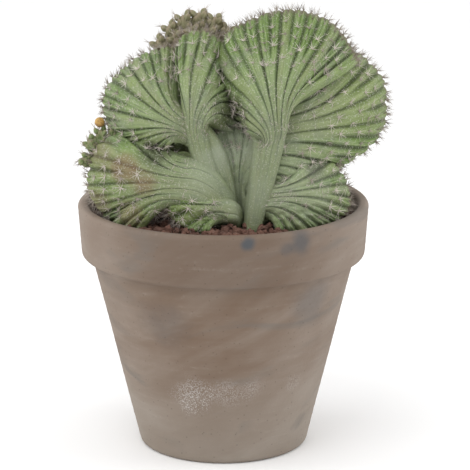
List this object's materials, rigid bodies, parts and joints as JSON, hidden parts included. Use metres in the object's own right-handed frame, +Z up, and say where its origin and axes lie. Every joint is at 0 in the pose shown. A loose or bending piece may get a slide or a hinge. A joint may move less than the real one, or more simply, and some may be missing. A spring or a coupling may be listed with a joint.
{
  "type": "potted crested cactus",
  "caption": "Crested cactus with upright and drooping ribbed fans, small shoots and a round bud, in gritty soil in a tapered clay pot with a plain rim band.",
  "frame": {"origin": "centre of the pot's flat underside", "axes": "+Z up along the pot's axis; -Y is the side the large fans face"},
  "size_m": [0.1799, 0.17, 0.2582],
  "materials": {
    "washed_clay": "matte",
    "soil": "matte",
    "crest_skin": "matte",
    "shoot_skin": "matte",
    "bud": "matte",
    "lava": "matte"
  },
  "bodies": {
    "root": {"clay_pot": "washed_clay", "gritty_soil": "soil", "crest": "crest_skin", "shoot_01": "shoot_skin", "shoot_02": "shoot_skin", "shoot_03": "shoot_skin", "shoot_04": "shoot_skin", "shoot_05": "shoot_skin", "shoot_06": "shoot_skin", "shoot_07": "shoot_skin", "shoot_08": "shoot_skin", "shoot_09": "shoot_skin", "shoot_10": "shoot_skin", "shoot_11": "shoot_skin", "shoot_12": "shoot_skin", "shoot_13": "shoot_skin", "shoot_14": "shoot_skin", "shoot_15": "shoot_skin", "shoot_16": "shoot_skin", "shoot_17": "shoot_skin", "flower_bud": "bud", "lava_stone_01": "lava", "lava_stone_02": "lava", "lava_stone_03": "lava", "lava_stone_04": "lava", "lava_stone_05": "lava", "lava_stone_06": "lava", "lava_stone_07": "lava", "lava_stone_08": "lava", "lava_stone_09": "lava", "lava_stone_10": "lava", "lava_stone_11": "lava", "lava_stone_12": "lava", "lava_stone_13": "lava", "lava_stone_14": "lava", "lava_stone_15": "lava", "lava_stone_16": "lava", "lava_stone_17": "lava", "lava_stone_18": "lava", "lava_stone_19": "lava", "lava_stone_20": "lava", "lava_stone_21": "lava", "lava_stone_22": "lava"}
  },
  "joints": []
}
